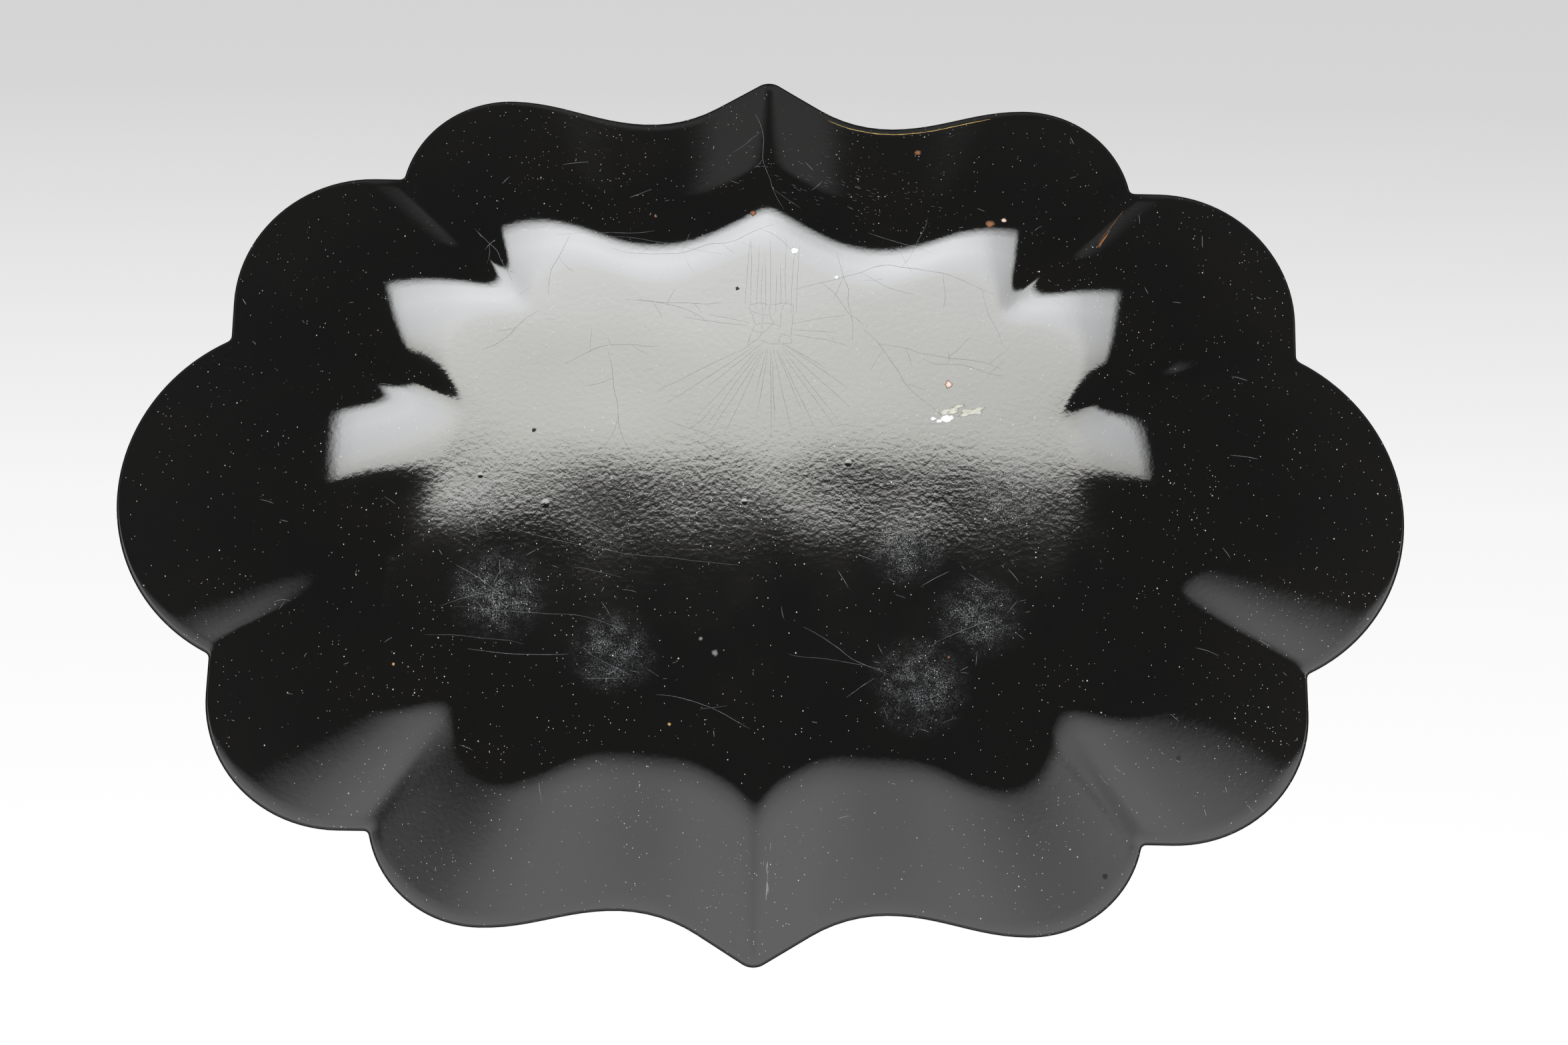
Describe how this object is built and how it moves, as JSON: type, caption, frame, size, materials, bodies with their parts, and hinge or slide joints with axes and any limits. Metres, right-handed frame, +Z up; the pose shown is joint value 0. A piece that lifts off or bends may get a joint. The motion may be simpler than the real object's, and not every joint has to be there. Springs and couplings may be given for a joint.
{
  "type": "painted tray",
  "caption": "Scalloped oval tray pressed from sheet iron with a rolled, wired edge, lacquered black on both sides, with a painted bouquet and gilding on its face.",
  "frame": {"origin": "under the middle of the well, on the surface that the tray lies on", "axes": "+X along the length, +Y across the width, +Z up out of the painted face"},
  "size_m": [0.46, 0.3336, 0.0367],
  "materials": {
    "sheet_iron": "sheet iron, primed and lacquered all over",
    "iron_wire": "drawn iron wire, hidden in the rolled edge",
    "back_lacquer": "glossy black lacquer with fine cracks, scratches and scuffs",
    "face_lacquer": "glossy black lacquer, polished",
    "gilding": "bronze-powder gilding, rubbed thin in places",
    "crimson_paint": "oil paint under clear lacquer",
    "blush_paint": "oil paint under clear lacquer",
    "cream_paint": "oil paint under clear lacquer",
    "blue_paint": "oil paint under clear lacquer",
    "yellow_paint": "oil paint under clear lacquer",
    "green_paint": "oil paint under clear lacquer"
  },
  "bodies": {
    "root": {"pressed_pan": "sheet_iron", "rim_wire": "iron_wire", "back_lacquer_coat": "back_lacquer", "face_lacquer_coat": "face_lacquer", "gilt_edge_line": "gilding", "gilt_garland": "gilding", "rose_middle": "crimson_paint", "rose_left": "blush_paint", "rose_right": "cream_paint", "aster_left": "blue_paint", "aster_right": "blue_paint", "primrose_top": "yellow_paint", "primrose_low": "yellow_paint", "leaf_1": "green_paint", "leaf_2": "green_paint", "leaf_3": "green_paint", "leaf_4": "green_paint", "leaf_5": "green_paint", "leaf_6": "green_paint", "leaf_7": "green_paint", "leaf_8": "green_paint", "leaf_9": "green_paint"}
  },
  "joints": []
}
